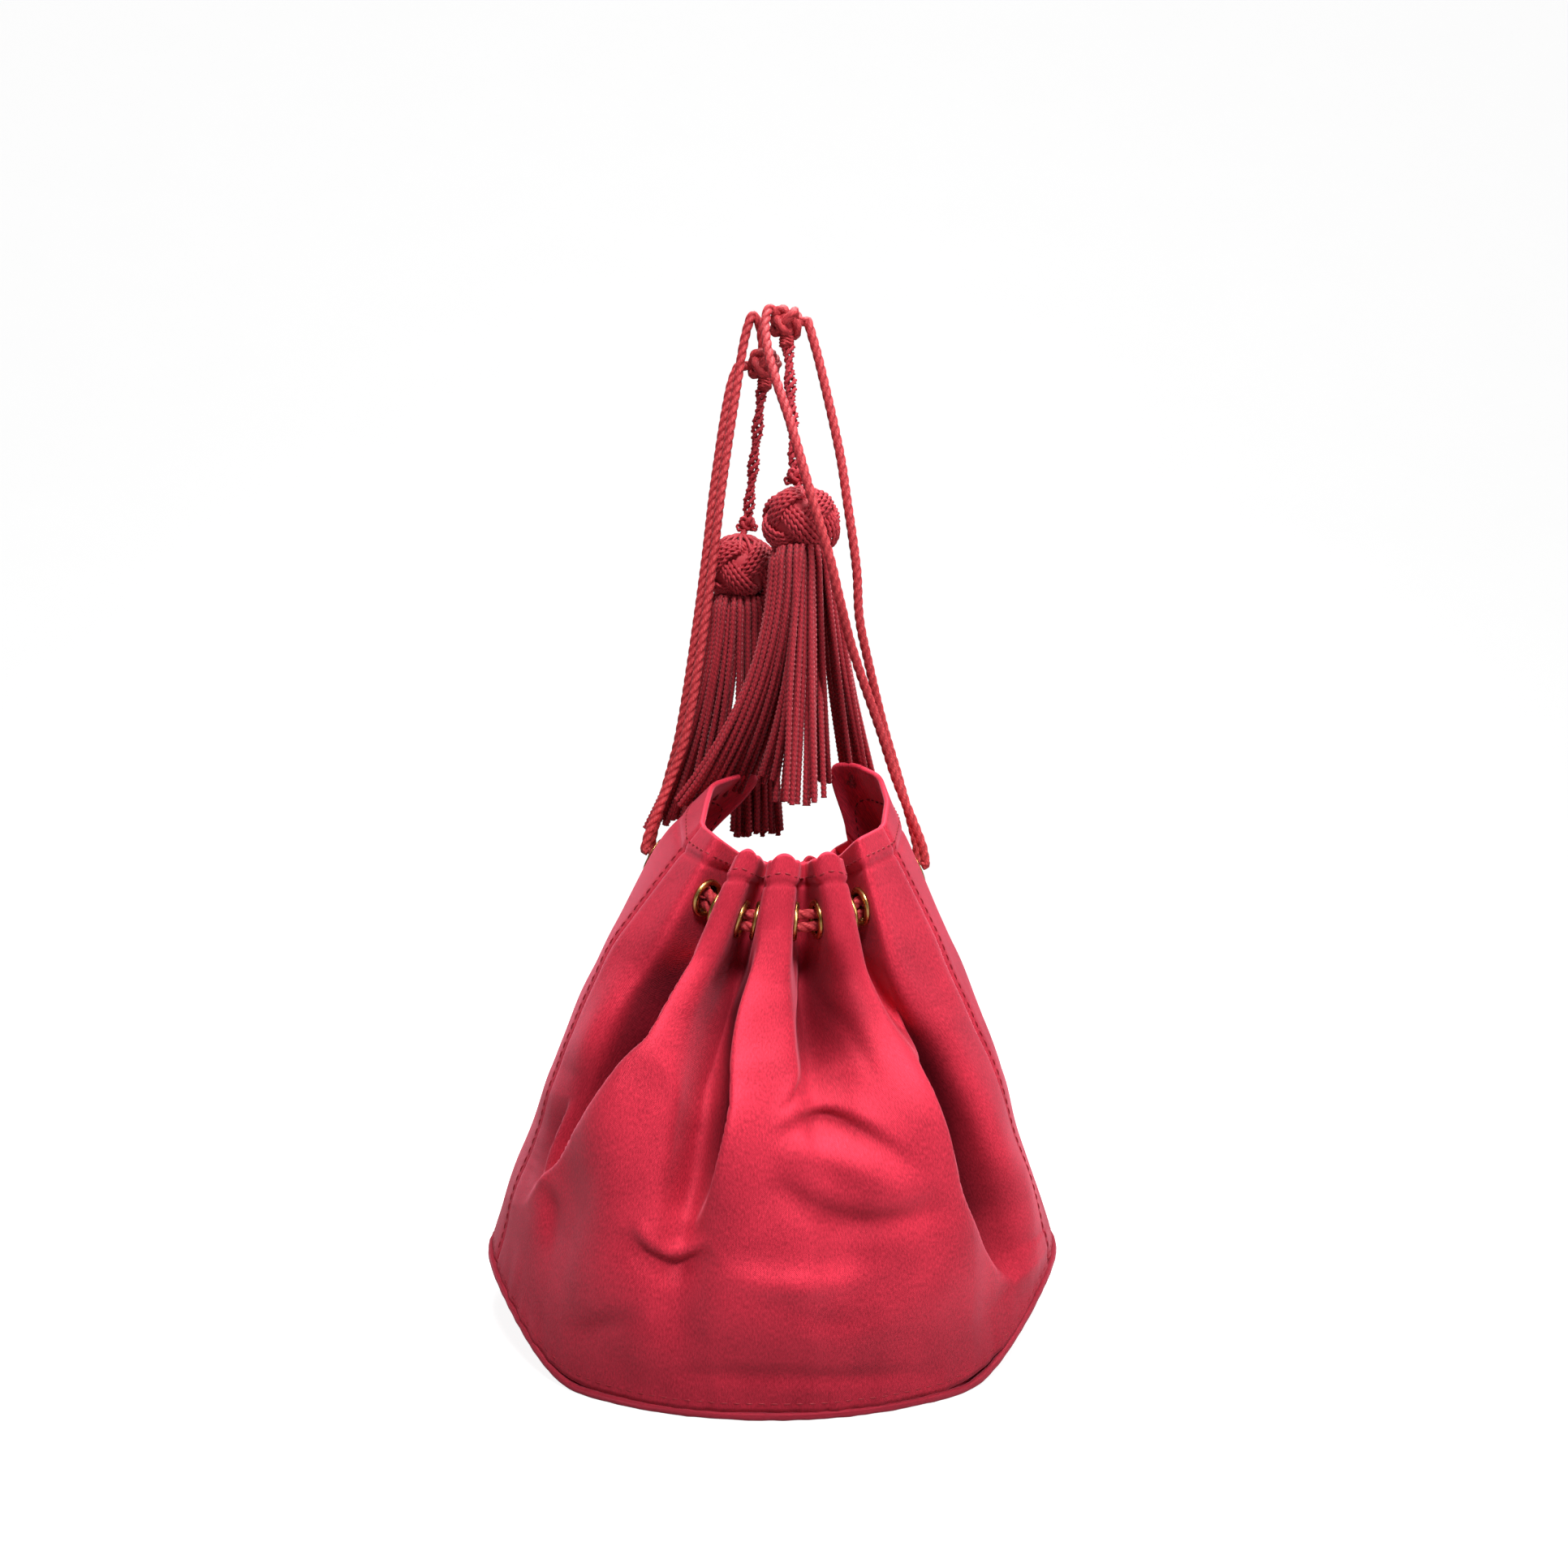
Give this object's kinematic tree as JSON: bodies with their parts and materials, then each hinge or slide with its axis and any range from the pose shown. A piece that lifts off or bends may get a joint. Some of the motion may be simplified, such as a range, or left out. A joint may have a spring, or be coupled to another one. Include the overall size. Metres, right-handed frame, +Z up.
{
  "type": "drawstring bucket bag",
  "caption": "Pleated satin bucket bag with an oval base, ring eyelets, crossed twisted drawstring loops and a long tassel hanging from each loop's knot.",
  "frame": {"origin": "middle of the flat part of the base's underside, under the centre of the bag's footprint", "axes": "+Z up, front towards -Y, the bag's right side as seen from the front towards +X"},
  "size_m": [0.1982, 0.1756, 0.3535],
  "materials": {
    "satin": "satin, soft sheen",
    "piping": "satin",
    "lining": "matte",
    "brass": "polished",
    "cord": "twisted satin rope",
    "tassel": "chainette yarn"
  },
  "bodies": {
    "bag": {"base_panel": "satin", "base_piping": "piping", "lining_floor": "lining", "front_panel": "satin", "right_gusset": "satin", "back_panel": "satin", "left_gusset": "satin", "lining": "lining", "eyelet_front_outer_left": "brass", "eyelet_front_pleat_1_left": "brass", "eyelet_front_pleat_1_right": "brass", "eyelet_front_pleat_2_left": "brass", "eyelet_front_pleat_2_right": "brass", "eyelet_front_pleat_3_left": "brass", "eyelet_front_pleat_3_right": "brass", "eyelet_front_outer_right": "brass", "eyelet_back_outer_left": "brass", "eyelet_back_pleat_1_left": "brass", "eyelet_back_pleat_1_right": "brass", "eyelet_back_pleat_2_left": "brass", "eyelet_back_pleat_2_right": "brass", "eyelet_back_pleat_3_left": "brass", "eyelet_back_pleat_3_right": "brass", "eyelet_back_outer_right": "brass", "eyelet_left_exit_front": "brass", "eyelet_left_exit_back": "brass", "eyelet_right_exit_front": "brass", "eyelet_right_exit_back": "brass", "left_drawstring": "cord", "right_drawstring": "cord"},
    "left_loop": {"left_loop_front_strand": "cord", "left_loop_back_strand": "cord", "left_knot": "cord"},
    "right_loop": {"right_loop_front_strand": "cord", "right_loop_back_strand": "cord", "right_knot": "cord"},
    "left_tassel": {"left_tassel_braid": "tassel", "left_tassel_top_knot": "tassel", "left_tassel_head": "tassel", "left_tassel_skirt": "tassel"},
    "right_tassel": {"right_tassel_braid": "tassel", "right_tassel_top_knot": "tassel", "right_tassel_head": "tassel", "right_tassel_skirt": "tassel"}
  },
  "joints": [
    {"name": "left_loop_swing", "type": "hinge", "parent": "bag", "child": "left_loop", "pos_m": [-0.04634, 0.01457, 0.15923], "axis": [-0.0379, -0.9977, 0.0568], "range_deg": [0, 100]},
    {"name": "right_loop_swing", "type": "hinge", "parent": "bag", "child": "right_loop", "pos_m": [0.05484, 0.01463, 0.15444], "axis": [-0.0925, 0.9957, 0.0069], "range_deg": [0, 100]},
    {"name": "left_tassel_swing", "type": "hinge", "parent": "left_loop", "child": "left_tassel", "pos_m": [-0.0042, 0.01, 0.3268], "axis": [1, 0, 0], "range_deg": [0, 20]},
    {"name": "right_tassel_swing", "type": "hinge", "parent": "right_loop", "child": "right_tassel", "pos_m": [0.0056, 0, 0.3382], "axis": [-0.6429, 0.7659, 0], "range_deg": [0, 15]}
  ]
}
